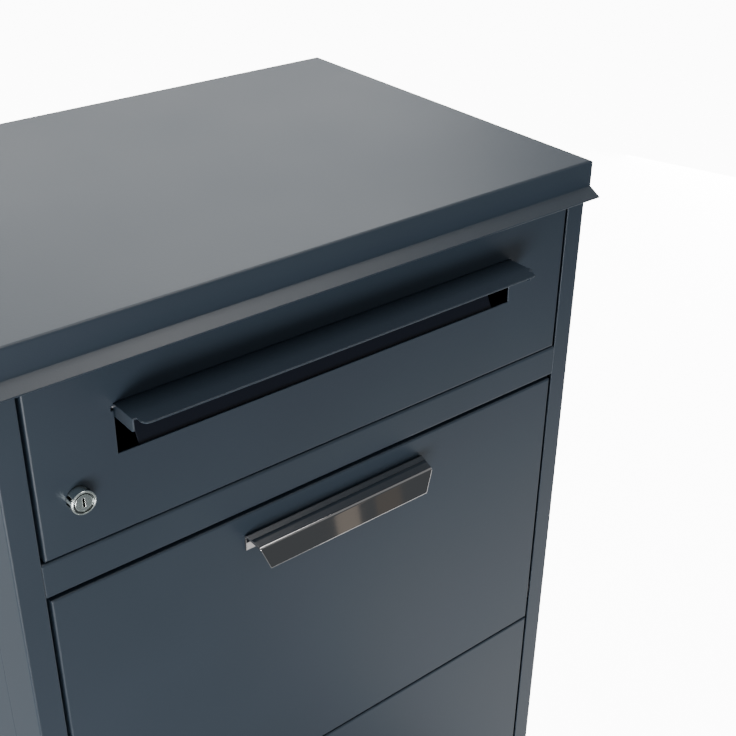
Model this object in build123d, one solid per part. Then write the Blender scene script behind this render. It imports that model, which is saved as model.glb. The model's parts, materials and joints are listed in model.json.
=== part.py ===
from build123d import *
import os
from math import cos, degrees, radians, sin

# Free-standing steel drop box: letter door with hooded slot, pull-down parcel flap, collection door.
# Millimetres, +Z up, front faces -Y, origin on the ground at the middle of the body's footprint.

# Overall sizes
WIDTH = 500.0
DEPTH = 352.0
HEIGHT = 950.0
SHEET = 1.2
BEND_R = 1.5
PAN_DEPTH = 14.0

# Clearances
FREE = 0.3
RUN = 0.05
SEAT = 0.02
HAIRLINE = 1.0
CUT = 1.0
FLAP_SEAM = 1.6
SWING_GAP = 3.0
HINGE_GAP = 2.0

# Levels of the front, from the roof down
FASCIA_H = 20.8
LIP_OUT = 11.0
LIP_DROP = 6.0
ROOF_OUT_FRONT = 2.7
ROOF_OUT_SIDE = 1.5
ROOF_R = 2.0
RAIL_H = 27.5
LETTER_FRONT_H = 159.5
FLAP_H = 264.0
PLINTH_H = 40.0

# Posts and side panels
STILE = 18.5
POST_DEPTH = 50.0
LAP = 14.0
SEAM = 0.6
BACK_FLANGE = 15.0

# Letter slot, hood and inner flap
SLOT_W = 342.0
SLOT_H = 37.4
SLOT_TOP_DROP = 62.0
HOOD_T = 1.0
HOOD_OUT = 32.0
CHEEK_OUT = 23.0
CHEEK_H = 10.0
TONGUE_INSET = 3.0
TONGUE_R = 5.0
HOOD_PIN_R = 1.4
HOOD_PIN_IN = 2.8
HOOD_PIN_DROP = 3.8
HOOD_TOP_GAP = 0.6
HOOD_REAR = 0.8
HOOD_EAR = 2.5
NOTCH = 1.8
FRAME_ABOVE = 2.0
PIN_END = 1.5
EAR_H = 26.0
EAR_DEPTH = 26.0
INNER_INSET = 16.0
INNER_ROD_R = 1.5
INNER_ROD_IN = 20.0
INNER_LAP = 1.2

# Locks
LOCK_FROM_SIDE = 48.9
LOCK_DROP = 119.7
LOWER_LOCK_DROP = 60.0
FACE_R = 8.6
FACE_OUT = 8.0
FACE_EDGE = 0.5
RIM_W = 1.3
RIM_DEEP = 1.2
SKIRT_T = 1.8
SKIRT_TOP = 2.0
NOTCH_PAIRS = ((45.0, 6.0), (150.0, 2.2), (182.0, 2.2))
BARREL_R = 7.5
BARREL_LEN = 20.0
PLUG_R = 6.0
PLUG_RECESS = 0.5
KEY_W = 1.6
KEY_H = 7.0
KEY_DEPTH = 5.0
NUT_AF = 20.0
NUT_T = 3.5
CAM_W = 14.0
CAM_T = 2.0
CAM_REACH = 38.0
CAM_SCREW_R = 3.6
CAM_SCREW_H = 2.4
SCREW_SLOT = 1.0

# Door and flap pivots
DOOR_PIN_R = 2.5
DOOR_PIN_SIDE = 8.0
DOOR_PIN_BEHIND = 3.6
PIN_SHOULDER = 1.0
ARM_W = 10.0
TAB_H = 24.0
EYE_WALL = 1.5
FLAP_PIN_R = 4.0
FLAP_PIN_BEHIND = 4.6
FLAP_PIN_UP = 30.0
BRACKET_LIP = 5.0
PIN_HEAD = 0.4
PIN_HEAD_T = 2.0
BUSH_T = 1.5
BUSH_FLANGE = 1.0
FLAP_OPEN = 45.0

# Parcel bucket
BUCKET_T = 1.5
BUCKET_R = 243.0
BUCKET_FLOOR = 165.0
BUCKET_SILL = 32.0
FLOOR_SHORT = 4.0
FLOOR_DIP = 1.0
TAB_ANGLE = 9.0
TAB_DROP = 20.0
TAB_FREE = 0.6
BUFFER_T = 3.0
BUFFER_W = 10.0
BUFFER_H = 8.0

# Pull handle
HANDLE_W = 166.0
HANDLE_X = 2.0
HANDLE_TAPER = 2.3
HANDLE_FALL = 3.3
HANDLE_OUT = 17.0
HANDLE_DROP = 19.5
HANDLE_LEAN = 2.5
HANDLE_SLANT = 7.4
HANDLE_T = 1.6
HANDLE_EDGE = 1.1
HANDLE_FLANGE = 12.0
HANDLE_BELOW_TOP = 16.7
HANDLE_SCREW_IN = 20.0
HANDLE_SCREW_END = 1.5
SCREW_R = 2.0
SCREW_HEAD_R = 3.8
SCREW_HEAD_T = 2.2

# Door buffers
DOT_R = 3.0
DOT_T = 3.0
DOT_ARM_T = 1.5
DOT_ARM_H = 12.0
DOT_BELOW_LOCK = 28.0
DOT_ABOVE_SILL = 40.0

# Shelf, baffle, stiffener and fixing holes
SHELF_UNDER_RAIL_TOP = 13.0
BAFFLE_LEN = 120.0
BAFFLE_GAP = 3.0
HAT_W = 48.0
HAT_RIB = 24.0
HAT_DEEP = 10.0
ANCHOR_R = 5.5
ANCHOR_X = 380.0
ANCHOR_Y = 240.0
WALL_R = 4.0
WALL_X = 300.0
WALL_Z = 500.0
WALL_LOW = 300.0
RIVET_R = 2.4
RIVET_T = 1.2
SEAM_RIVETS = 7
BACK_SCREWS = 5
BACK_SCREW_R = 3.0
BACK_SCREW_IN = 30.0
CAP_SCREW_IN = 60.0
STRIKE_BACK = 1.0

# Places that follow from the sizes above
HALF_W = WIDTH / 2
FRONT = -DEPTH / 2
BACK = DEPTH / 2
IN_X = HALF_W - SHEET
OPEN_X = HALF_W - STILE
BODY_TOP = HEIGHT - SHEET
RAIL_TOP = HEIGHT - LETTER_FRONT_H
RAIL_BOTTOM = RAIL_TOP - RAIL_H
LIP_Z = HEIGHT - FASCIA_H - LIP_DROP - SHEET
DOOR_LEFT = -OPEN_X + SWING_GAP
DOOR_RIGHT = OPEN_X - HINGE_GAP
LETTER_BOTTOM = RAIL_TOP + HAIRLINE
LETTER_TOP = LIP_Z - HINGE_GAP
FLAP_TOP = RAIL_BOTTOM - SWING_GAP
FLAP_BOTTOM = FLAP_TOP - FLAP_H
LOWER_TOP = FLAP_BOTTOM - FLAP_SEAM
LOWER_BOTTOM = PLINTH_H + HAIRLINE
SLOT_TOP = HEIGHT - SLOT_TOP_DROP
SLOT_BOTTOM = SLOT_TOP - SLOT_H
HINGE_X = DOOR_RIGHT - DOOR_PIN_SIDE
HINGE_Y = FRONT + 2 * SHEET + DOOR_PIN_BEHIND
HOOD_Y = FRONT + HOOD_PIN_IN
HOOD_Z = SLOT_TOP - HOOD_PIN_DROP
INNER_Y = FRONT + INNER_ROD_IN
INNER_Z = SLOT_TOP - HOOD_PIN_DROP
INNER_HALF = SLOT_W / 2 - INNER_INSET
LOCK_X = -HALF_W + LOCK_FROM_SIDE
LETTER_LOCK_Z = HEIGHT - LOCK_DROP
LOWER_LOCK_Z = LOWER_TOP - LOWER_LOCK_DROP
FLAP_AXIS_Y = FRONT + 2 * SHEET + FLAP_PIN_BEHIND
FLAP_AXIS_Z = FLAP_BOTTOM + FLAP_PIN_UP
SHELF_Z = RAIL_TOP - SHELF_UNDER_RAIL_TOP
CAM_Y = FRONT + SHEET + BARREL_LEN


def block(x0, x1, y0, y1, z0, z1):
    """A box between two corners."""
    size = Box(x1 - x0, y1 - y0, z1 - z0)
    return Pos((x0 + x1) / 2, (y0 + y1) / 2, (z0 + z1) / 2) * size


def rod_x(x0, x1, y, z, r):
    return Pos((x0 + x1) / 2, y, z) * Rot(0, 90, 0) * Cylinder(r, x1 - x0)


def rod_y(x, y0, y1, z, r):
    return Pos(x, (y0 + y1) / 2, z) * Rot(90, 0, 0) * Cylinder(r, y1 - y0)


def rod_z(x, y, z0, z1, r):
    return Pos(x, y, (z0 + z1) / 2) * Cylinder(r, z1 - z0)


def across(x0):
    """The YZ plane at x0, drawn in (y, z) and extruded towards +X."""
    return Plane(origin=(x0, 0, 0), x_dir=(0, 1, 0), z_dir=(1, 0, 0))


def bent_x(points, thick, x0, x1, r=BEND_R):
    """Sheet folded along X: points are (y, z) down the middle of its thickness."""
    path = FilletPolyline(*points, radius=r)
    return extrude(across(x0) * trace(path, line_width=thick), x1 - x0)


def group(pieces):
    return Compound(children=[piece.solid() for piece in pieces])


def front_pan(x0, x1, z0, z1):
    """A door or flap: front sheet with four returns folded inwards and soft front edges."""
    shell = block(x0, x1, FRONT, FRONT + PAN_DEPTH, z0, z1)
    shell = fillet(shell.faces().sort_by(Axis.Y)[0].edges(), BEND_R)
    hollow = block(x0 + SHEET, x1 - SHEET, FRONT + SHEET, FRONT + PAN_DEPTH, z0 + SHEET, z1 - SHEET)
    return shell - hollow


def lock_hole(part, z):
    return part - rod_y(LOCK_X, FRONT - CUT, FRONT + SHEET + CUT, z, BARREL_R + SEAT)


# Cabinet


def front_post(side):
    stile = block(OPEN_X, HALF_W, FRONT, FRONT + SHEET, 0, BODY_TOP)
    strip = block(IN_X, HALF_W, FRONT, FRONT + POST_DEPTH, 0, BODY_TOP)
    post = stile + strip
    corner = post.edges().filter_by(Axis.Z).group_by(Axis.Y)[0].sort_by(Axis.X)[-1]
    post = fillet(corner, BEND_R)
    y_lap = FRONT + POST_DEPTH
    post += block(IN_X - SHEET, IN_X, y_lap - LAP, y_lap + LAP, SHEET, BODY_TOP)
    return post if side > 0 else mirror(post, Plane.YZ)


def side_panel(side):
    y0 = FRONT + POST_DEPTH + SEAM
    wall = block(IN_X, HALF_W, y0, BACK, 0, BODY_TOP)
    flange = block(HALF_W - BACK_FLANGE, HALF_W, BACK - SHEET, BACK, 0, BODY_TOP)
    panel = wall + flange
    corner = panel.edges().filter_by(Axis.Z).group_by(Axis.Y)[-1].sort_by(Axis.X)[-1]
    panel = fillet(corner, BEND_R)
    return panel if side > 0 else mirror(panel, Plane.YZ)


def wall_holes():
    return [(x, z) for x in (-WALL_X / 2, WALL_X / 2) for z in (WALL_LOW, WALL_LOW + WALL_Z)]


def back_panel():
    y1 = BACK - SHEET
    panel = block(-IN_X, IN_X, y1 - SHEET, y1, SHEET, BODY_TOP)
    for x, z in wall_holes():
        panel -= rod_y(x, y1 - SHEET - CUT, y1 + CUT, z, WALL_R)
    return panel


def anchor_holes():
    return [(x, y) for x in (-ANCHOR_X / 2, ANCHOR_X / 2) for y in (-ANCHOR_Y / 2, ANCHOR_Y / 2)]


def base_pan():
    x = IN_X - SHEET
    y0 = FRONT + SHEET
    y1 = BACK - 2 * SHEET
    rim = PLINTH_H - SHEET
    pan = block(-x, x, y0, y1, 0, rim)
    pan -= block(-x + SHEET, x - SHEET, y0 + SHEET, y1 - SHEET, SHEET, rim)
    for side in (-1, 1):
        pan -= Pos(side * IN_X, FRONT + POST_DEPTH, rim / 2) * Box(2 * SHEET, 2 * (LAP + SEAM), HEIGHT)
    for x, y in anchor_holes():
        pan -= rod_z(x, y, -CUT, SHEET + CUT, ANCHOR_R)
    return pan


def plinth():
    top = PLINTH_H
    x = OPEN_X - SEAM / 2
    face = block(-x, x, FRONT, FRONT + SHEET, 0, top)
    ledge = block(-x, x, FRONT, FRONT + PAN_DEPTH, top - SHEET, top)
    front = face + ledge
    front = fillet(front.edges().filter_by(Axis.X).group_by(Axis.Z)[-1].sort_by(Axis.Y)[0], BEND_R)
    return front - rod_z(HINGE_X, HINGE_Y, top - SHEET - CUT, top + CUT, DOOR_PIN_R + SEAT)


def head_rail():
    m = SHEET / 2
    top = BODY_TOP
    pts = [(FRONT + PAN_DEPTH * 2, top - m), (FRONT + m, top - m), (FRONT + m, LIP_Z + m),
           (FRONT + PAN_DEPTH, LIP_Z + m)]
    rail = bent_x(pts, SHEET, -OPEN_X + SEAM / 2, OPEN_X - SEAM / 2)
    return rail - rod_z(HINGE_X, HINGE_Y, LIP_Z - CUT, LIP_Z + SHEET + CUT, DOOR_PIN_R + SEAT)


def front_rail():
    m = SHEET / 2
    rear = FRONT + PAN_DEPTH - m
    pts = [(rear, SHELF_Z), (rear, RAIL_BOTTOM + m), (FRONT + m, RAIL_BOTTOM + m),
           (FRONT + m, RAIL_TOP - m), (rear, RAIL_TOP - m)]
    rail = bent_x(pts, SHEET, -OPEN_X + SEAM / 2, OPEN_X - SEAM / 2)
    return rail - rod_z(HINGE_X, HINGE_Y, RAIL_TOP - SHEET - CUT, RAIL_TOP + CUT, DOOR_PIN_R + SEAT)


def roof_cap():
    x = HALF_W + ROOF_OUT_SIDE
    y0 = FRONT - ROOF_OUT_FRONT
    y1 = BACK + ROOF_OUT_SIDE
    z0 = HEIGHT - FASCIA_H
    cap = block(-x, x, y0, y1, z0, HEIGHT)
    cap = fillet(cap.faces().sort_by(Axis.Z)[-1].edges(), ROOF_R)
    cap -= block(-x + SHEET, x - SHEET, y0 + SHEET, y1 - SHEET, z0, HEIGHT - SHEET)
    m = SHEET / 2
    lip = [(y0 + m, z0 + BEND_R * 3), (y0 + m, z0 - m), (y0 - LIP_OUT + m, z0 - m - LIP_DROP)]
    return cap + bent_x(lip, SHEET, -x, x, BEND_R / 2)


def roof_screws():
    y = BACK + ROOF_OUT_SIDE
    z = HEIGHT - FASCIA_H / 2
    end = HALF_W - CAP_SCREW_IN
    return group([rod_y(x, y, y + SCREW_HEAD_T, z, SCREW_HEAD_R) for x in (-end, 0, end)])


def letter_shelf():
    m = SHEET / 2
    y0 = FRONT + PAN_DEPTH + m
    y1 = BACK - 2 * SHEET - m
    pts = [(y0, RAIL_TOP - SHEET), (y0, SHELF_Z - m), (y1, SHELF_Z - m), (y1, SHELF_Z + PAN_DEPTH)]
    shelf = bent_x(pts, SHEET, -IN_X, IN_X)
    for side in (-1, 1):
        post = block(IN_X - SHEET, IN_X, FRONT, FRONT + POST_DEPTH + LAP, 0, HEIGHT)
        shelf -= post if side > 0 else mirror(post, Plane.YZ)
    return shelf


def baffle_start():
    return FLAP_AXIS_Y + BUCKET_R + BAFFLE_GAP


def parcel_baffle():
    """Folded guard under the shelf, behind the bucket's sweep: it stops a hand reaching down."""
    m = SHEET / 2
    y0 = baffle_start()
    z0 = SHELF_Z - SHEET - m
    pts = [(y0 + PAN_DEPTH, z0), (y0, z0), (y0, z0 - BAFFLE_LEN), (y0 - PAN_DEPTH / 2, z0 - BAFFLE_LEN)]
    return bent_x(pts, SHEET, -IN_X + FREE, IN_X - FREE)


def strike(z):
    """Angle behind the stile that the cam turns in behind."""
    y0 = FRONT + SHEET
    x1 = -OPEN_X - STRIKE_BACK
    foot = block(-IN_X, x1, y0, y0 + SHEET, z - PAN_DEPTH, z + PAN_DEPTH)
    web = block(x1 - SHEET, x1, y0, CAM_Y - 2 * FREE, z - PAN_DEPTH, z + PAN_DEPTH)
    return foot + web


def letter_door_pivots():
    low = rod_z(HINGE_X, HINGE_Y, RAIL_TOP - 2 * SHEET, LETTER_BOTTOM + 4 * SHEET, DOOR_PIN_R)
    low += rod_z(HINGE_X, HINGE_Y, RAIL_TOP - 3 * SHEET, RAIL_TOP - SHEET, DOOR_PIN_R + PIN_SHOULDER)
    high = rod_z(HINGE_X, HINGE_Y, LETTER_TOP - 4 * SHEET, LIP_Z + 2 * SHEET, DOOR_PIN_R)
    high += rod_z(HINGE_X, HINGE_Y, LIP_Z + SHEET, LIP_Z + 3 * SHEET, DOOR_PIN_R + PIN_SHOULDER)
    return group([low, high])


def bracket_z():
    return LOWER_TOP - SHEET - 3 * FREE


def lower_door_pivots():
    top = PLINTH_H
    low = rod_z(HINGE_X, HINGE_Y, top - 2 * SHEET, LOWER_BOTTOM + 4 * SHEET, DOOR_PIN_R)
    low += rod_z(HINGE_X, HINGE_Y, top - 3 * SHEET, top - SHEET, DOOR_PIN_R + PIN_SHOULDER)
    z = bracket_z()
    high = rod_z(HINGE_X, HINGE_Y, z - 2 * SHEET, LOWER_TOP - FREE, DOOR_PIN_R)
    return group([low, high])


def lower_hinge_bracket():
    """Goose-neck plate from the post round the door's return to the pivot, with a tab on the post."""
    z = bracket_z()
    y1 = HINGE_Y + DOOR_PIN_SIDE + PAN_DEPTH
    x0 = HINGE_X - DOOR_PIN_R - 2 * EYE_WALL
    x1 = IN_X - SHEET
    neck = block(x0, HINGE_X + EYE_WALL, HINGE_Y, y1, z - 2 * SHEET, z)
    eye = rod_z(HINGE_X, HINGE_Y, z - 2 * SHEET, z, DOOR_PIN_R + EYE_WALL)
    arm = block(x0, x1, y1 - ARM_W, y1, z - 2 * SHEET, z)
    tab = block(x1, IN_X, y1 - ARM_W, y1, z - TAB_H, z)
    hole = rod_z(HINGE_X, HINGE_Y, z - 2 * SHEET - CUT, z + CUT, DOOR_PIN_R + SEAT)
    return neck + eye + arm + tab - hole


def flap_pivot_brackets():
    """Angle on the back of each stile that carries the flap's pivot pin."""
    y0 = FRONT + SHEET
    x0 = OPEN_X + STRIKE_BACK
    x1 = x0 + 2 * SHEET
    reach = FLAP_PIN_R + SHEET + BRACKET_LIP
    z0 = FLAP_AXIS_Z - reach
    z1 = FLAP_AXIS_Z + reach
    foot = block(x0, IN_X - SEAM, y0, y0 + SHEET, z0, z1)
    web = block(x0, x1, y0, FLAP_AXIS_Y + reach - SHEET, z0, z1)
    right = foot + web - rod_x(x0 - CUT, x1 + CUT, FLAP_AXIS_Y, FLAP_AXIS_Z, FLAP_PIN_R + SEAT)
    return group([mirror(right, Plane.YZ), right])


def flap_pivot_pins():
    x0 = cheek_x(-1) - BUCKET_T - BUSH_FLANGE - PIN_END
    x1 = OPEN_X + STRIKE_BACK + 2 * SHEET
    pin = rod_x(x0, x1, FLAP_AXIS_Y, FLAP_AXIS_Z, FLAP_PIN_R)
    pin += rod_x(x1, x1 + PIN_HEAD_T, FLAP_AXIS_Y, FLAP_AXIS_Z, FLAP_PIN_R + PIN_HEAD)
    return group([mirror(pin, Plane.YZ), pin])


def flap_stop_buffers():
    rear = FRONT + PAN_DEPTH
    z = RAIL_BOTTOM + SHEET + BUFFER_T
    pads = []
    for side in (-1, 1):
        x = cheek_x(side)
        pad = block(x - BUFFER_W, x, rear, rear + BUFFER_T, z, z + BUFFER_H)
        pads.append(pad if side > 0 else mirror(pad, Plane.YZ))
    return group(pads)


def door_buffers():
    """Soft dots on the backs of the left stile, where the doors close near the locks."""
    y0 = FRONT + PAN_DEPTH + FREE
    y1 = y0 + DOT_T
    half = DOT_ARM_H / 2
    dots = []
    for z in (LETTER_LOCK_Z - DOT_BELOW_LOCK, LOWER_LOCK_Z - DOT_BELOW_LOCK, LOWER_BOTTOM + DOT_ABOVE_SILL):
        arm = block(-IN_X, DOOR_LEFT + 2 * DOT_R, y1, y1 + DOT_ARM_T, z - half, z + half)
        arm += rod_y(DOOR_LEFT + DOT_R, y0, y1, z, DOT_R)
        dots.append(arm)
    return group(dots)


def seam_rivets():
    """Rivet heads on the inside of the side seams."""
    x = IN_X - SHEET
    y = FRONT + POST_DEPTH + LAP / 2
    step = (LETTER_TOP - LOWER_BOTTOM - 2 * PAN_DEPTH) / (SEAM_RIVETS - 1)
    heads = []
    for n in range(SEAM_RIVETS):
        z = LOWER_BOTTOM + PAN_DEPTH + n * step
        if abs(z - SHELF_Z) < PAN_DEPTH:
            z -= 2 * PAN_DEPTH
        head = rod_x(x - RIVET_T, x, y, z, RIVET_R)
        heads += [head, mirror(head, Plane.YZ)]
    return group(heads)


def back_screws():
    x = HALF_W - BACK_FLANGE / 2
    step = (LETTER_TOP - LOWER_BOTTOM - 2 * BACK_SCREW_IN) / (BACK_SCREWS - 1)
    heads = []
    for n in range(BACK_SCREWS):
        z = LOWER_BOTTOM + BACK_SCREW_IN + n * step
        head = rod_y(x, BACK, BACK + RIVET_T, z, BACK_SCREW_R)
        heads += [head, mirror(head, Plane.YZ)]
    return group(heads)


# Letter door


def letter_door():
    door = front_pan(DOOR_LEFT, DOOR_RIGHT, LETTER_BOTTOM, LETTER_TOP)
    half = SLOT_W / 2
    y0 = FRONT - CUT
    y1 = FRONT + SHEET + CUT
    door -= block(-half, half, y0, y1, SLOT_BOTTOM, SLOT_TOP)
    door -= block(-half - NOTCH, half + NOTCH, y0, y1, HOOD_Z - NOTCH, HOOD_Z + NOTCH)
    door -= rod_z(HINGE_X, HINGE_Y, LETTER_BOTTOM - CUT, LETTER_TOP + CUT, DOOR_PIN_R + RUN)
    return lock_hole(door, LETTER_LOCK_Z)


def slot_frame():
    """Channel over the slot's back with an ear at each end for the hood's pins and the inner rod."""
    half = SLOT_W / 2 + FREE * 2
    wide = half + SHEET
    y0 = FRONT + SHEET
    y1 = FRONT + EAR_DEPTH
    low = SLOT_TOP + FRAME_ABOVE
    web = block(-wide, wide, y0, y0 + SHEET, low, SLOT_TOP + PAN_DEPTH)
    roof = block(-wide, wide, y0, y1, low, low + SHEET)
    frame = web + roof
    ear = block(half, wide, y0, y1, SLOT_TOP - EAR_H / 2, low + SHEET)
    ear -= rod_x(half - CUT, wide + CUT, HOOD_Y, HOOD_Z, HOOD_PIN_R + RUN)
    ear -= rod_x(half - CUT, wide + CUT, INNER_Y, INNER_Z, INNER_ROD_R + RUN)
    return frame + ear + mirror(ear, Plane.YZ)


def slot_rivets():
    y0 = FRONT + 2 * SHEET
    z = SLOT_TOP + PAN_DEPTH - RIVET_R - SHEET
    return group([rod_y(n * SLOT_W / 4, y0, y0 + RIVET_T, z, RIVET_R) for n in range(-2, 3)])


def lock_housing(z):
    """Drum with a raised rim in front and a skirt cut by spanner notches down to the door."""
    face = FRONT - FACE_OUT
    drum = rod_y(LOCK_X, face, FRONT, z, FACE_R)
    drum = chamfer(drum.faces().sort_by(Axis.Y)[0].edges(), FACE_EDGE)
    drum -= rod_y(LOCK_X, face - CUT, face + RIM_DEEP, z, FACE_R - RIM_W)
    notch_len = FACE_OUT - SKIRT_TOP
    for angle, wide in NOTCH_PAIRS:
        notch = Pos(FACE_R, -notch_len / 2, 0) * Box(2 * SKIRT_T, notch_len, wide)
        for turn in (angle, angle + 180):
            drum -= Pos(LOCK_X, FRONT, z) * Rot(0, -turn, 0) * notch
    barrel = rod_y(LOCK_X, FRONT, CAM_Y, z, BARREL_R)
    return drum + barrel - rod_y(LOCK_X, face - CUT, CAM_Y + CUT, z, PLUG_R + RUN)


def lock_nut(z):
    y0 = FRONT + SHEET
    nut = Pos(LOCK_X, y0 + NUT_T, z) * Rot(90, 0, 0) * extrude(RegularPolygon(NUT_AF / 2, 6, False), NUT_T)
    return nut - rod_y(LOCK_X, y0 - CUT, y0 + NUT_T + CUT, z, BARREL_R + SEAT)


def lock_plug(z):
    face = FRONT - FACE_OUT + PLUG_RECESS
    plug = rod_y(LOCK_X, face, CAM_Y + FREE, z, PLUG_R)
    return plug - Pos(LOCK_X, face, z) * Box(KEY_W, 2 * KEY_DEPTH, KEY_H)


def lock_cam(z):
    y0 = CAM_Y + FREE
    arm = block(LOCK_X - CAM_W / 2, LOCK_X + CAM_W / 2, y0, y0 + CAM_T, z, z + CAM_REACH - CAM_W / 2)
    arm += rod_y(LOCK_X, y0, y0 + CAM_T, z, CAM_W / 2)
    return arm + rod_y(LOCK_X, y0, y0 + CAM_T, z + CAM_REACH - CAM_W / 2, CAM_W / 2)


def cam_screw(z):
    y0 = CAM_Y + FREE + CAM_T
    head = rod_y(LOCK_X, y0, y0 + CAM_SCREW_H, z, CAM_SCREW_R)
    return head - Pos(LOCK_X, y0 + CAM_SCREW_H, z) * Box(SCREW_SLOT, 2 * SCREW_SLOT, 2 * CAM_SCREW_R + CUT)


def hood_flap():
    """Plate out from the slot's top with turned-down cheeks and a round-cornered tongue in front."""
    half = SLOT_W / 2 - FREE * 2
    top = SLOT_TOP - HOOD_TOP_GAP
    y_rear = HOOD_Y - HOOD_REAR
    y_cheek = FRONT - CHEEK_OUT
    plate = block(-half, half, y_cheek, y_rear, top - HOOD_T, top)
    t_half = half - TONGUE_INSET
    tongue = block(-t_half, t_half, FRONT - HOOD_OUT, y_cheek + CUT, top - HOOD_T, top)
    front = tongue.edges().filter_by(Axis.Z).group_by(Axis.Y)[0]
    tongue = fillet(front, TONGUE_R)
    cheek = block(half - HOOD_T, half, y_cheek, HOOD_Y + HOOD_EAR, top - CHEEK_H, top - HOOD_T)
    cheek += block(half - HOOD_T, half, y_cheek, y_rear, top - HOOD_T, top - HOOD_T / 2)
    rear = cheek.edges().filter_by(Axis.X).group_by(Axis.Z)[0].sort_by(Axis.Y)[0]
    cheek = fillet(rear, HOOD_EAR)
    hood = plate + tongue + cheek + mirror(cheek, Plane.YZ)
    return hood - rod_x(-half - CUT, half + CUT, HOOD_Y, HOOD_Z, HOOD_PIN_R + SEAT)


def hood_pins():
    x0 = SLOT_W / 2 - 2 * FREE - HOOD_T - PIN_END
    x1 = SLOT_W / 2 + 2 * FREE + SHEET + PIN_END
    pin = rod_x(x0, x1, HOOD_Y, HOOD_Z, HOOD_PIN_R)
    return group([mirror(pin, Plane.YZ), pin])


def inner_flap():
    """Plate that hangs from its rod and leans on the back of the door below the slot."""
    rest_y = FRONT + SHEET + FREE + HOOD_T / 2
    path = Line((INNER_Y, INNER_Z - INNER_ROD_R), (rest_y, SLOT_BOTTOM - INNER_LAP))
    plate = extrude(across(-INNER_HALF) * trace(path, line_width=HOOD_T), 2 * INNER_HALF)
    curl = rod_x(-INNER_HALF, INNER_HALF, INNER_Y, INNER_Z, INNER_ROD_R + HOOD_T)
    bore = rod_x(-INNER_HALF - CUT, INNER_HALF + CUT, INNER_Y, INNER_Z, INNER_ROD_R + SEAT)
    return plate + curl - bore


def inner_rod():
    half = SLOT_W / 2 + 2 * FREE + SHEET + PIN_END
    return rod_x(-half, half, INNER_Y, INNER_Z, INNER_ROD_R)


# Parcel flap and its bucket


def parcel_flap():
    flap = front_pan(DOOR_LEFT, DOOR_RIGHT, FLAP_BOTTOM, FLAP_TOP)
    bore = FLAP_PIN_R + BUSH_T + SEAT
    flap -= rod_x(DOOR_LEFT - CUT, DOOR_RIGHT + CUT, FLAP_AXIS_Y, FLAP_AXIS_Z, bore)
    for x in handle_screw_x():
        flap -= rod_y(x, FRONT - CUT, FRONT + SHEET + CUT, handle_screw_z(), SCREW_R + SEAT)
    return flap


def cheek_x(side):
    """Distance from the middle to the outer face of the cheek on that side."""
    return (DOOR_RIGHT if side > 0 else -DOOR_LEFT) - SHEET - SEAT


def sill_z():
    return FLAP_BOTTOM + SHEET


def polar(r, angle):
    """Point at r from the flap's axis, angle measured inwards from straight up."""
    return (FLAP_AXIS_Y + r * sin(radians(angle)), FLAP_AXIS_Z + r * cos(radians(angle)))


def bucket_cheek(side):
    """Sector-shaped side of the bucket; its top tab meets the rail's buffer when the flap is down."""
    y0 = FRONT + SHEET
    rail_y = FRONT + PAN_DEPTH + BUFFER_T - FLAP_AXIS_Y
    start = FLAP_OPEN + degrees(rail_y / BUCKET_R) + TAB_FREE
    middle = start + TAB_ANGLE / 2
    inner_r = RAIL_BOTTOM - FLAP_AXIS_Z - TAB_DROP
    corner = (y0, FLAP_AXIS_Z + inner_r)
    arc_in = ThreePointArc(corner, polar(inner_r, start / 2), polar(inner_r, start))
    end = polar(BUCKET_R, start + TAB_ANGLE)
    arc_out = ThreePointArc(polar(BUCKET_R, start), polar(BUCKET_R, middle), end)
    floor_end = polar(BUCKET_FLOOR, 90 + FLAP_OPEN)
    foot = (y0, sill_z())
    sill = (FRONT + BUCKET_SILL, sill_z())
    edge = [
        Line(foot, corner), arc_in, Line(arc_in @ 1, arc_out @ 0), arc_out,
        Line(arc_out @ 1, floor_end), Line(floor_end, sill), Line(sill, foot)]
    face = make_face(Wire(edge))
    cheek = extrude(across(cheek_x(side) - BUCKET_T) * face, BUCKET_T)
    cheek -= rod_x(0, HALF_W, FLAP_AXIS_Y, FLAP_AXIS_Z, FLAP_PIN_R + BUSH_T + SEAT)
    return cheek if side > 0 else mirror(cheek, Plane.YZ)


def bucket_floor():
    """Sloping floor between the cheeks: level when the flap is down, a slide when it is shut."""
    y0 = FRONT + SHEET + SHEET / 2
    z0 = sill_z() + SHEET / 2
    end = polar(BUCKET_FLOOR - FLOOR_SHORT, 90 + FLAP_OPEN - FLOOR_DIP)
    pts = [(y0, z0 + 2 * PAN_DEPTH), (y0, z0), (FRONT + BUCKET_SILL, z0), end]
    return bent_x(pts, SHEET, BUCKET_T - cheek_x(-1), cheek_x(1) - BUCKET_T)


def handle_screw_x():
    reach = HANDLE_W / 2 - HANDLE_SCREW_IN
    return [HANDLE_X - reach, HANDLE_X + reach]


def handle_screw_z():
    return FLAP_TOP - HANDLE_BELOW_TOP - HANDLE_FLANGE / 2 - HANDLE_T


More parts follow.
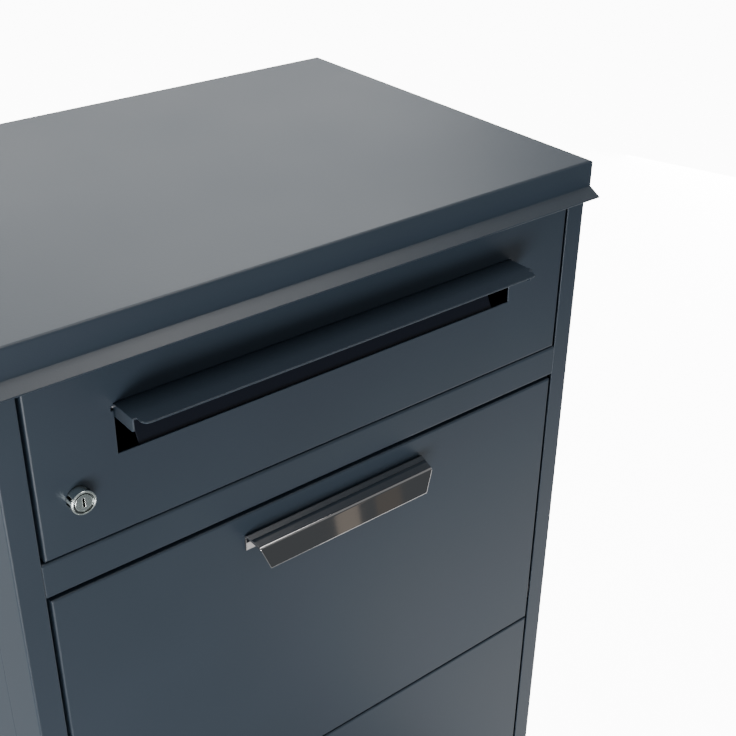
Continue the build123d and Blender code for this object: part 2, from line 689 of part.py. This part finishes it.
def pull_handle():
    """Folded strip: flange on the flap, ledge falling outwards, and a leaning blade with slanted ends."""
    m = HANDLE_T / 2
    half = HANDLE_W / 2
    top = FLAP_TOP - HANDLE_BELOW_TOP
    front_top = top - HANDLE_FALL
    y_out = FRONT - HANDLE_OUT
    pts = [(FRONT - m, top - HANDLE_FLANGE - HANDLE_T), (FRONT - m, top - m), (y_out + m, front_top - m),
           (y_out + m - HANDLE_LEAN, front_top - HANDLE_DROP)]
    strip = bent_x(pts, HANDLE_T, HANDLE_X - half, HANDLE_X + half, HANDLE_T * 0.9)
    lowest = strip.edges().filter_by(Axis.X).group_by(Axis.Z)[0]
    strip = fillet(lowest.sort_by(Axis.Y)[0], HANDLE_EDGE)
    low = front_top - HANDLE_DROP - HANDLE_T
    ledge = Plane.XY.offset(low)
    blade = Plane(origin=(0, y_out + HANDLE_T, 0), x_dir=(1, 0, 0), z_dir=(0, -1, 0))
    for side in (-1, 1):
        x = HANDLE_X + side * half
        corner = x - side * HANDLE_TAPER
        over = x + side * CUT
        taper = Polyline((x, FRONT - HANDLE_T), (corner, y_out), (corner, y_out - HANDLE_OUT),
                         (over, y_out - HANDLE_OUT), (over, FRONT - HANDLE_T), close=True)
        strip -= extrude(ledge * make_face(taper), HANDLE_DROP * 2)
        low_corner = (corner - side * HANDLE_SLANT, low)
        slant = Polyline((corner, front_top - HANDLE_T), low_corner, (over, low), close=True)
        strip -= extrude(blade * make_face(slant), HANDLE_OUT)
    for x in handle_screw_x():
        strip -= rod_y(x, FRONT - HANDLE_T - CUT, FRONT + CUT, handle_screw_z(), SCREW_R + SEAT)
    return strip


def handle_screws():
    y0 = FRONT + SHEET
    screws = []
    for x in handle_screw_x():
        shank = rod_y(x, FRONT - HANDLE_T - HANDLE_SCREW_END, y0, handle_screw_z(), SCREW_R)
        screws.append(shank + rod_y(x, y0, y0 + SCREW_HEAD_T, handle_screw_z(), SCREW_HEAD_R))
    return group(screws)


def bucket_rivets():
    """Rivets through the flap's end returns into the cheeks; heads inside the bucket."""
    y = FRONT + PAN_DEPTH / 2 + SHEET
    heads = []
    for side in (-1, 1):
        x = cheek_x(side) - BUCKET_T
        for n in range(1, 5):
            z = FLAP_AXIS_Z + n * (FLAP_TOP - FLAP_AXIS_Z) / 6
            head = rod_x(x - RIVET_T, x, y, z, RIVET_R)
            heads.append(head if side > 0 else mirror(head, Plane.YZ))
    return group(heads)


def flap_bush(side):
    """Plain nylon bush through the flap's return and the cheek, flanged inside the bucket."""
    x0 = cheek_x(side) - BUCKET_T
    x1 = DOOR_RIGHT if side > 0 else -DOOR_LEFT
    bush = rod_x(x0, x1, FLAP_AXIS_Y, FLAP_AXIS_Z, FLAP_PIN_R + BUSH_T)
    bush -= rod_x(x0 - CUT, x1 + CUT, FLAP_AXIS_Y, FLAP_AXIS_Z, FLAP_PIN_R + RUN)
    return bush if side > 0 else mirror(bush, Plane.YZ)


# Lower door


def lower_door():
    door = front_pan(DOOR_LEFT, DOOR_RIGHT, LOWER_BOTTOM, LOWER_TOP)
    z = bracket_z()
    gap = 2 * FREE
    x0 = DOOR_RIGHT - SHEET - gap
    door -= block(x0, DOOR_RIGHT + CUT, FRONT + 2 * SHEET, BACK, z - 2 * SHEET - 3 * gap, z + gap)
    door -= rod_z(HINGE_X, HINGE_Y, LOWER_BOTTOM - CUT, LOWER_TOP + CUT, DOOR_PIN_R + RUN)
    return lock_hole(door, LOWER_LOCK_Z)


def lower_stiffener():
    """Top-hat section down the middle of the door's back."""
    y0 = FRONT + SHEET
    z0 = LOWER_BOTTOM + 2 * PAN_DEPTH
    z1 = LOWER_TOP - 2 * PAN_DEPTH
    y1 = y0 + HAT_DEEP
    rib = HAT_RIB / 2
    hat = block(-HAT_W / 2, HAT_W / 2, y0, y0 + SHEET, z0, z1) + block(-rib, rib, y0, y1, z0, z1)
    return hat - block(SHEET - rib, rib - SHEET, y0, y1 - SHEET, z0, z1)


PARTS = {
    "front_post_left": front_post(-1), "front_post_right": front_post(1),
    "side_panel_left": side_panel(-1), "side_panel_right": side_panel(1),
    "back_panel": back_panel(), "base_pan": base_pan(), "plinth_front": plinth(),
    "head_rail": head_rail(), "front_rail": front_rail(),
    "roof_cap": roof_cap(), "roof_screws": roof_screws(), "letter_shelf": letter_shelf(),
    "parcel_baffle": parcel_baffle(),
    "letter_strike": strike(LETTER_LOCK_Z), "lower_strike": strike(LOWER_LOCK_Z),
    "letter_door_pivots": letter_door_pivots(), "lower_door_pivots": lower_door_pivots(),
    "lower_hinge_bracket": lower_hinge_bracket(), "flap_pivot_brackets": flap_pivot_brackets(),
    "flap_pivot_pins": flap_pivot_pins(), "flap_stop_buffers": flap_stop_buffers(),
    "door_buffers": door_buffers(), "seam_rivets": seam_rivets(), "back_screws": back_screws(),
    "letter_door": letter_door(), "slot_frame": slot_frame(), "slot_rivets": slot_rivets(),
    "hood_flap": hood_flap(), "hood_pins": hood_pins(),
    "inner_flap": inner_flap(), "inner_rod": inner_rod(),
    "parcel_flap": parcel_flap(), "bucket_cheek_left": bucket_cheek(-1),
    "bucket_cheek_right": bucket_cheek(1), "bucket_floor": bucket_floor(),
    "pull_handle": pull_handle(), "handle_screws": handle_screws(),
    "bucket_rivets": bucket_rivets(),
    "lower_door": lower_door(), "lower_stiffener": lower_stiffener(),
}
for lock, level in (("letter", LETTER_LOCK_Z), ("lower", LOWER_LOCK_Z)):
    PARTS[f"{lock}_lock_housing"] = lock_housing(level)
    PARTS[f"{lock}_lock_nut"] = lock_nut(level)
    PARTS[f"{lock}_lock_plug"] = lock_plug(level)
    PARTS[f"{lock}_lock_cam"] = lock_cam(level)
    PARTS[f"{lock}_cam_screw"] = cam_screw(level)
for side, name in ((1, "right"), (-1, "left")):
    PARTS[f"flap_bush_{name}"] = flap_bush(side)

os.makedirs("parts", exist_ok=True)
for node, shape in PARTS.items():
    export_step(shape, f"parts/{node}.step")
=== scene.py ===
import bmesh
import bpy
import json
from mathutils import Matrix, Vector


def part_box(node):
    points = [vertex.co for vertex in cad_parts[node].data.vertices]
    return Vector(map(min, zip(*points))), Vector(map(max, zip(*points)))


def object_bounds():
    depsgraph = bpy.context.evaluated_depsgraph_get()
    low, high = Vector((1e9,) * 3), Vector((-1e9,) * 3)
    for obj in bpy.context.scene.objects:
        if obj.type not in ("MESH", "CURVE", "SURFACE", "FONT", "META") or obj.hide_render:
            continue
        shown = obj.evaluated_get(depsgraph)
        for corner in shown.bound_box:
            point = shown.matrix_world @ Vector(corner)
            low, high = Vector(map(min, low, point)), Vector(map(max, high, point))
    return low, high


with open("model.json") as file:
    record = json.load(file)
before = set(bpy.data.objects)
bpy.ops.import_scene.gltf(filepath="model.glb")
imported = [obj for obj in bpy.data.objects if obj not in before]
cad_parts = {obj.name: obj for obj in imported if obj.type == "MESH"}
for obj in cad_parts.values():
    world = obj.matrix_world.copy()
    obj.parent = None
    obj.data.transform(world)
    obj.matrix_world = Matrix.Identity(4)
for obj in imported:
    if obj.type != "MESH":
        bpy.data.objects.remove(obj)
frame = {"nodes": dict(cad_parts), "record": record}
cad_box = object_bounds()
NODES = frame["nodes"]

# Camera: metres left of, in front of and above the body's front left top corner, and its two axes
LENS_MM = 59.43
SENSOR_MM = 36.0
CAM_LEFT = 0.2004
CAM_OUT = 0.5876
CAM_UP = 0.3326
CAM_RIGHT = Vector((0.77795, -0.62822, 0.01171))
CAM_DOWN = Vector((-0.30802, -0.39753, -0.86434))

# Surround
SKY = (0.96, 0.98, 1.0)
SKY_STRENGTH = 0.41
FLOOR_SIZE = 60.0
FLOOR_GLOW = 12.0
DOME_SEGMENTS = 48
DOME_RINGS = 24
PALE = (0.94, 0.94, 0.94)
WHITE = (1.0, 1.0, 1.0)
BLACK = (0.0, 0.0, 0.0)
COOL = (0.97, 0.99, 1.0)
WARM = (1.0, 0.94, 0.86)

# Lamps: name, place, what it faces, width and height, power, colour
LAMPS = (
    ("back_soft", (1.12, 2.8, 2.7), "roof_middle", (3.4, 1.8), 57.0, COOL),
    ("overhead", (0.62, -0.38, 2.9), "roof_front", (1.2, 1.0), 22.0, (1.0, 0.98, 0.965)),
    ("key_low", (-1.25, -1.9, 0.05), "front", (1.6, 0.7), 56.0, (0.99, 0.99, 1.0)),
    ("left_soft", (-2.6, 0.6, 1.0), "left_side", (1.4, 2.0), 100.0, WARM),
    ("right_soft", (2.6, 0.8, 0.5), "right_side", (1.4, 1.0), 40.0, WHITE),
)

# Cards that only show in reflections: name, place, what it faces, width and height, colour, strength
FLOOR_CARD = (0.90, -0.52, 0.01)
CARDS = (
    ("front_dark", (1.1, -1.7, 0.25), "front", (3.4, 1.9), (0.86, 0.93, 1.0), 0.135),
    ("grip_warm", (0.566, -1.072, 0.258), "grip", (0.042, 0.30), (1.0, 0.90, 0.80), 0.36),
    ("grip_dull", (0.640, -1.050, 0.272), "grip", (0.045, 0.30), (1.0, 0.94, 0.88), 0.17),
    ("floor_pale", FLOOR_CARD, "above_floor_card", (1.1, 0.9), WHITE, 1.3),
)

# Paint and metal
ANTHRACITE = (0.022, 0.0345, 0.0505)
# Inside paint: the same anthracite painted much darker, as painted shade inside the box
ANTHRACITE_PAINTED_SHADE_INSIDE = (0.003, 0.0056, 0.0135)
COAT_ROUGH = 0.42
COAT_ROUGH_SPREAD = 0.03
COAT_TONE_SPREAD = 0.07
COAT_FOLD = 0.0012
CLOUD_SCALE = 3.2
PEEL_SCALE = 520.0
SPECK_SCALE = 900.0
PEEL_HEIGHT = 0.00022
PEEL_STRENGTH = 0.18
# Folds painted lighter: partly worn paint, partly a painted edge highlight
EDGE_WEAR_AND_HIGHLIGHT_GAIN = 1.4
EDGE_WEAR_AND_HIGHLIGHT_LIFT = 0.005

HANDLE_STEEL = (0.44, 0.43, 0.425)
# Lock chrome with a green tint painted in, as a painted reflection of greenish surroundings
LOCK_CHROME_REFLECTION_TINTED = (0.74, 0.82, 0.79)
METAL_EDGE = 0.0008
POLISH_SCALE = 1400.0
POLISH_STRETCH = (0.04, 1.0, 1.0)
POLISH_HEIGHT = 0.0001
POLISH_STRENGTH = 0.02
# Painted shade: polished metal is painted darker in crevices, found by ambient occlusion within this reach
CREVICE_REACH = 0.0035
CREVICE_SHADE = 0.06

ZINC_DARK = (0.50, 0.51, 0.53)
ZINC_PALE = (0.68, 0.69, 0.70)
ZINC_ROUGH = (0.24, 0.40)
ZINC_GRAIN_SCALE = 450.0
ZINC_GRAIN_END = 0.8

BLACK_STEEL = (0.015, 0.016, 0.018)
RUBBER = (0.02, 0.02, 0.021)
NYLON = (0.018, 0.018, 0.02)
PLASTIC_TONE_SPREAD = 0.15
PLASTIC_ROUGH_SPREAD = 0.06
PLASTIC_GRAIN_HEIGHT = 0.0002
PLASTIC_GRAIN_STRENGTH = 0.3

# Ranges that noise and masks are read over
MIDDLE = (0.35, 0.65)
WIDE = (0.3, 0.7)
OPEN_AIR = (0.35, 0.85)
FOLD_COSINE = (0.80, 0.985)
RISING = (0.0, 1.0)
FALLING = (1.0, 0.0)
EDGE_SAMPLES = 8

# Sockets of the colour mix, which share their names with its other types
MIX_A = 6
MIX_B = 7
MIX_RESULT = 2


# Node helpers


def new_material(name):
    mat = bpy.data.materials.new(name)
    mat.use_nodes = True
    tree = mat.node_tree
    return mat, tree, tree.nodes["Principled BSDF"]


def link(tree, a, out, b, inp):
    tree.links.new(a.outputs[out], b.inputs[inp])


def noise(tree, coord, scale, detail=2.0, rough=0.5):
    node = tree.nodes.new("ShaderNodeTexNoise")
    node.inputs["Scale"].default_value = scale
    node.inputs["Detail"].default_value = detail
    node.inputs["Roughness"].default_value = rough
    link(tree, coord, "Object", node, "Vector")
    return node


def remap(tree, node, out, source, target):
    mapped = tree.nodes.new("ShaderNodeMapRange")
    mapped.inputs["From Min"].default_value = source[0]
    mapped.inputs["From Max"].default_value = source[1]
    mapped.inputs["To Min"].default_value = target[0]
    mapped.inputs["To Max"].default_value = target[1]
    link(tree, node, out, mapped, "Value")
    return mapped


def mix_colour(tree, factor, out, a, b):
    """Blend of two colours, each a tuple or another node's socket."""
    node = tree.nodes.new("ShaderNodeMix")
    node.data_type = "RGBA"
    link(tree, factor, out, node, 0)
    for socket, colour in ((MIX_A, a), (MIX_B, b)):
        if isinstance(colour, tuple):
            node.inputs[socket].default_value = (*colour, 1.0)
        else:
            tree.links.new(colour, node.inputs[socket])
    return node


def shade(colour, factor, lift=0.0):
    return tuple(c * factor + lift for c in colour)


def edge_mask(tree, radius):
    """1 on bent edges and 0 on flat sheet: the angle between the rounded and the true normal."""
    bevel = tree.nodes.new("ShaderNodeBevel")
    bevel.samples = EDGE_SAMPLES
    bevel.inputs["Radius"].default_value = radius
    geo = tree.nodes.new("ShaderNodeNewGeometry")
    dot = tree.nodes.new("ShaderNodeVectorMath")
    dot.operation = "DOT_PRODUCT"
    link(tree, bevel, "Normal", dot, 0)
    link(tree, geo, "Normal", dot, 1)
    return bevel, remap(tree, dot, "Value", FOLD_COSINE, FALLING)


def add_relief(tree, bsdf, source, out, strength, height, under=None):
    """Fine relief from a height texture, laid over the rounded edges when there are any."""
    bump = tree.nodes.new("ShaderNodeBump")
    bump.inputs["Strength"].default_value = strength
    bump.inputs["Distance"].default_value = height
    link(tree, source, out, bump, "Height")
    if under:
        link(tree, under, "Normal", bump, "Normal")
    link(tree, bump, "Normal", bsdf, "Normal")


# Materials


def powder_coat(name, colour, rough=COAT_ROUGH, gloss=0.5):
    """Satin powder coat: fine orange peel, slight cloudiness, and folds painted lighter, partly as worn
    paint and partly as a painted edge highlight.
    """
    mat, tree, bsdf = new_material(name)
    coord = tree.nodes.new("ShaderNodeTexCoord")
    cloud = noise(tree, coord, CLOUD_SCALE, detail=3.0)
    patches = remap(tree, cloud, "Fac", MIDDLE, RISING)
    tone = mix_colour(tree, patches, "Result",
                      shade(colour, 1.0 - COAT_TONE_SPREAD), shade(colour, 1.0 + COAT_TONE_SPREAD))
    bevel, edge = edge_mask(tree, COAT_FOLD)
    # Folds painted lighter: partly worn paint, partly a painted edge highlight
    mixed = mix_colour(tree, edge, "Result", tone.outputs[MIX_RESULT], shade(colour, EDGE_WEAR_AND_HIGHLIGHT_GAIN, EDGE_WEAR_AND_HIGHLIGHT_LIFT))
    link(tree, mixed, MIX_RESULT, bsdf, "Base Color")
    spread = (rough - COAT_ROUGH_SPREAD, rough + COAT_ROUGH_SPREAD)
    link(tree, remap(tree, cloud, "Fac", WIDE, spread), "Result", bsdf, "Roughness")
    peel = noise(tree, coord, PEEL_SCALE, rough=0.6)
    speck = noise(tree, coord, SPECK_SCALE, detail=1.0)
    height = tree.nodes.new("ShaderNodeMath")
    height.operation = "ADD"
    link(tree, peel, "Fac", height, 0)
    link(tree, speck, "Fac", height, 1)
    add_relief(tree, bsdf, height, "Value", PEEL_STRENGTH, PEEL_HEIGHT, under=bevel)
    bsdf.inputs["Specular IOR Level"].default_value = gloss
    return mat


def polished(name, colour, rough, scratch, edge_highlight_gain):
    """Mirror-polished or plated metal with faint polishing lines along X, a painted highlight on its edges
    and painted shade in its crevices.
    """
    mat, tree, bsdf = new_material(name)
    bsdf.inputs["Metallic"].default_value = 1.0
    coord = tree.nodes.new("ShaderNodeTexCoord")
    stretch = tree.nodes.new("ShaderNodeMapping")
    stretch.inputs["Scale"].default_value = POLISH_STRETCH
    link(tree, coord, "Object", stretch, "Vector")
    lines = tree.nodes.new("ShaderNodeTexNoise")
    lines.inputs["Scale"].default_value = POLISH_SCALE
    link(tree, stretch, "Vector", lines, "Vector")
    bevel, edge = edge_mask(tree, METAL_EDGE)
    # Painted highlight: the metal's edges are painted lighter
    painted_edge_highlight = tuple(min(1.0, c) for c in shade(colour, edge_highlight_gain))
    tone = mix_colour(tree, edge, "Result", colour, painted_edge_highlight)
    # Painted shade: crevices found by ambient occlusion are painted darker
    crevice = tree.nodes.new("ShaderNodeAmbientOcclusion")
    crevice.samples = EDGE_SAMPLES
    crevice.inputs["Distance"].default_value = CREVICE_REACH
    open_metal = remap(tree, crevice, "AO", OPEN_AIR, RISING)
    crevice_shaded = mix_colour(tree, open_metal, "Result", shade(colour, CREVICE_SHADE), tone.outputs[MIX_RESULT])
    link(tree, crevice_shaded, MIX_RESULT, bsdf, "Base Color")
    link(tree, remap(tree, lines, "Fac", WIDE, (rough, rough + scratch)), "Result", bsdf, "Roughness")
    add_relief(tree, bsdf, lines, "Fac", POLISH_STRENGTH, POLISH_HEIGHT, under=bevel)
    return mat


def zinc_plate(name):
    """Zinc plating: dull metal with a cloudy crystalline tone."""
    mat, tree, bsdf = new_material(name)
    bsdf.inputs["Metallic"].default_value = 1.0
    coord = tree.nodes.new("ShaderNodeTexCoord")
    grain = tree.nodes.new("ShaderNodeTexVoronoi")
    grain.inputs["Scale"].default_value = ZINC_GRAIN_SCALE
    link(tree, coord, "Object", grain, "Vector")
    cells = (0.0, ZINC_GRAIN_END)
    tone = mix_colour(tree, remap(tree, grain, "Distance", cells, RISING), "Result", ZINC_DARK, ZINC_PALE)
    link(tree, tone, MIX_RESULT, bsdf, "Base Color")
    link(tree, remap(tree, grain, "Distance", cells, ZINC_ROUGH), "Result", bsdf, "Roughness")
    return mat


def soft_plastic(name, colour, rough, scale):
    """Moulded rubber or nylon, or matt black steel, with a fine grain."""
    mat, tree, bsdf = new_material(name)
    coord = tree.nodes.new("ShaderNodeTexCoord")
    grain = noise(tree, coord, scale, detail=3.0, rough=0.6)
    tone = mix_colour(tree, grain, "Fac",
                      shade(colour, 1.0 - PLASTIC_TONE_SPREAD), shade(colour, 1.0 + PLASTIC_TONE_SPREAD))
    link(tree, tone, MIX_RESULT, bsdf, "Base Color")
    spread = (rough - PLASTIC_ROUGH_SPREAD, rough + PLASTIC_ROUGH_SPREAD)
    link(tree, remap(tree, grain, "Fac", WIDE, spread), "Result", bsdf, "Roughness")
    add_relief(tree, bsdf, grain, "Fac", PLASTIC_GRAIN_STRENGTH, PLASTIC_GRAIN_HEIGHT)
    return mat


def dress_nodes():
    """Give each CAD piece the finish of its material slot."""
    finishes = {
        "body_paint": powder_coat("body_paint", ANTHRACITE),
        # Inside paint is painted darker as painted shade
        "inner_paint": powder_coat("inner_paint", ANTHRACITE_PAINTED_SHADE_INSIDE, rough=0.5, gloss=0.3),
        # The last number of each metal sets how much lighter its edges are painted, as a painted highlight
        "handle_steel": polished("handle_steel", HANDLE_STEEL, rough=0.035, scratch=0.02, edge_highlight_gain=2.2),
        "lock_chrome": polished("lock_chrome", LOCK_CHROME_REFLECTION_TINTED, rough=0.2, scratch=0.06, edge_highlight_gain=1.2),
        "zinc": zinc_plate("zinc"),
        "black_steel": soft_plastic("black_steel", BLACK_STEEL, rough=0.45, scale=600.0),
        "rubber": soft_plastic("rubber", RUBBER, rough=0.75, scale=700.0),
        "nylon": soft_plastic("nylon", NYLON, rough=0.5, scale=500.0),
    }
    for part in frame["record"]["subparts"]:
        obj = NODES[part["node"]]
        obj.data.materials.clear()
        obj.data.materials.append(finishes[part["material_slot"]])


# Studio


def glow_material(name, base, colour, strength):
    mat, _, bsdf = new_material(name)
    bsdf.inputs["Base Color"].default_value = (*base, 1.0)
    bsdf.inputs["Roughness"].default_value = 0.8
    bsdf.inputs["Specular IOR Level"].default_value = 0.0
    bsdf.inputs["Emission Color"].default_value = (*colour, 1.0)
    bsdf.inputs["Emission Strength"].default_value = strength
    return mat


def stage_mesh(name, bm, mat):
    """Studio piece made from a bmesh, which this frees."""
    mesh = bpy.data.meshes.new(name)
    bm.to_mesh(mesh)
    bm.free()
    mesh.materials.append(mat)
    obj = bpy.data.objects.new(name, mesh)
    bpy.context.scene.collection.objects.link(obj)
    return obj


def stage_plane(name, size, mat):
    bm = bmesh.new()
    bmesh.ops.create_grid(bm, x_segments=1, y_segments=1, size=0.5)
    obj = stage_mesh(name, bm, mat)
    obj.scale = (size[0], size[1], 1.0)
    return obj


def hide_from_light(obj):
    """The camera sees it, but it neither lights nor shades the box."""
    obj.visible_diffuse = False
    obj.visible_glossy = False
    obj.visible_transmission = False
    obj.visible_shadow = False


def add_floor(z):
    """Glowing white sweep; light for the box comes from the world and the lamps, not from it."""
    floor = stage_plane("floor", (FLOOR_SIZE, FLOOR_SIZE), glow_material("floor", PALE, PALE, FLOOR_GLOW))
    floor.location.z = z
    hide_from_light(floor)


def add_backdrop(z):
    """White dome that closes the view above the floor."""
    bm = bmesh.new()
    bmesh.ops.create_uvsphere(bm, u_segments=DOME_SEGMENTS, v_segments=DOME_RINGS, radius=FLOOR_SIZE / 2)
    dome = stage_mesh("backdrop", bm, glow_material("backdrop", BLACK, PALE, FLOOR_GLOW))
    dome.location.z = z
    hide_from_light(dome)


def face_towards(obj, place, target):
    obj.location = place
    obj.rotation_euler = (Vector(target) - Vector(place)).to_track_quat("-Z", "Y").to_euler()


def add_card(name, place, target, size, colour, strength):
    """Card that only shows in reflections."""
    card = stage_plane(name, size, glow_material(name, BLACK, colour, strength))
    face_towards(card, place, target)
    card.visible_camera = False
    card.visible_diffuse = False
    card.visible_shadow = False


def add_area(name, place, target, size, power, colour):
    data = bpy.data.lights.new(name, "AREA")
    data.shape = "RECTANGLE"
    data.size, data.size_y = size
    data.energy = power
    data.color = colour
    lamp = bpy.data.objects.new(name, data)
    face_towards(lamp, place, target)
    bpy.context.scene.collection.objects.link(lamp)


def add_sky():
    world = bpy.data.worlds.new("studio")
    bpy.context.scene.world = world
    world.use_nodes = True
    back = world.node_tree.nodes["Background"]
    back.inputs["Color"].default_value = (*SKY, 1.0)
    back.inputs["Strength"].default_value = SKY_STRENGTH


def light_studio(lo, hi):
    """Broad light behind for the roof, a low key in front, a soft light on each side, and cards."""
    add_sky()
    aims = {
        "roof_middle": (0.08, 0.0, hi.z),
        "roof_front": (0.0, -0.2, hi.z),
        "front": (0.0, lo.y, 0.75),
        "grip": (0.0, lo.y, 0.73),
        "left_side": (lo.x, 0.0, 0.7),
        "right_side": (hi.x, 0.0, 0.5),
        "above_floor_card": (FLOOR_CARD[0], FLOOR_CARD[1], hi.z),
    }
    for name, place, aim, size, power, colour in LAMPS:
        add_area(name, place, aims[aim], size, power, colour)
    for name, place, aim, size, colour, strength in CARDS:
        add_card(name, place, aims[aim], size, colour, strength)


def add_camera():
    post_lo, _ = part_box("front_post_left")
    _, roof_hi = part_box("roof_cap")
    data = bpy.data.cameras.new("camera")
    data.lens = LENS_MM
    data.sensor_width = SENSOR_MM
    cam = bpy.data.objects.new("camera", data)
    back = CAM_DOWN.cross(CAM_RIGHT)
    turn = Matrix((CAM_RIGHT, -CAM_DOWN, back)).transposed()
    place = Vector((post_lo.x - CAM_LEFT, post_lo.y - CAM_OUT, roof_hi.z + CAM_UP))
    cam.matrix_world = Matrix.Translation(place) @ turn.to_4x4()
    bpy.context.scene.collection.objects.link(cam)
    bpy.context.scene.camera = cam


dress_nodes()
low, high = cad_box
add_floor(low.z)
add_backdrop(low.z)
light_studio(low, high)
add_camera()
